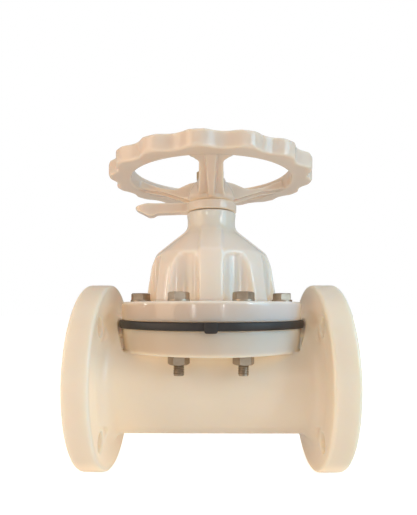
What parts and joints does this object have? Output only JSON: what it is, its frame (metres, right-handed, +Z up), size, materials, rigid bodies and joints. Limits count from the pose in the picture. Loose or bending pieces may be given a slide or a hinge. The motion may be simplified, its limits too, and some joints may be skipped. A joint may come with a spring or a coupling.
{
  "type": "diaphragm valve",
  "caption": "Flanged weir-type diaphragm valve in cream plastic, with a lobed three-spoke handwheel, a domed bonnet and a lock lever.",
  "frame": {"origin": "where the spindle axis crosses the axis of the pipe, in the middle between the two pipe flanges", "axes": "+X along the pipe, +Z up along the spindle towards the handwheel, +Y to the back, away from the diaphragm's tab"},
  "size_m": [0.254, 0.21, 0.3136],
  "materials": {
    "body_plastic": "milky natural polypropylene, satin gloss",
    "bonnet_plastic": "milky natural polypropylene, gloss",
    "wheel_plastic": "milky natural polypropylene, gloss",
    "black_rubber": "matt black moulded rubber",
    "grey_iron": "painted casting",
    "bare_steel": "turned steel",
    "zinc_steel": "dull zinc-plated steel",
    "brass": "turned brass"
  },
  "bodies": {
    "valve": {"valve_body": "body_plastic", "body_inserts": "brass", "diaphragm": "black_rubber", "bonnet": "bonnet_plastic", "bonnet_bush": "brass", "bush_screws": "bare_steel", "bonnet_bolts_long": "zinc_steel", "bonnet_bolts_short": "zinc_steel", "bonnet_washers": "zinc_steel", "bonnet_nuts": "zinc_steel"},
    "compressor_unit": {"compressor": "grey_iron", "diaphragm_stud": "bare_steel", "spindle_pins": "bare_steel", "thrust_washer": "brass"},
    "wheel_unit": {"spindle": "bare_steel", "handwheel": "wheel_plastic", "handwheel_insert": "bare_steel", "handwheel_key": "bare_steel", "handwheel_washer": "zinc_steel", "handwheel_nut": "zinc_steel"},
    "lock_unit": {"lock_lever": "wheel_plastic", "lock_lever_nut": "brass"}
  },
  "joints": [
    {"name": "compressor_lift", "type": "slide", "parent": "valve", "child": "compressor_unit", "axis": [0, 0, 1], "range_m": [0, 0.0381], "deforming": ["diaphragm"]},
    {"name": "handwheel_turn", "type": "hinge", "parent": "compressor_unit", "child": "wheel_unit", "pos_m": [0, 0, 0.2], "axis": [0, 0, 1], "range_deg": [0, 2736]},
    {"name": "lock_lever_turn", "type": "hinge", "parent": "valve", "child": "lock_unit", "pos_m": [0, 0, 0.176], "axis": [0, 0, 1], "range_deg": [0, 60]}
  ],
  "couplings": [
    {"joint": "compressor_lift", "follows": "handwheel_turn", "m_per_rad": 0.00079577}
  ]
}
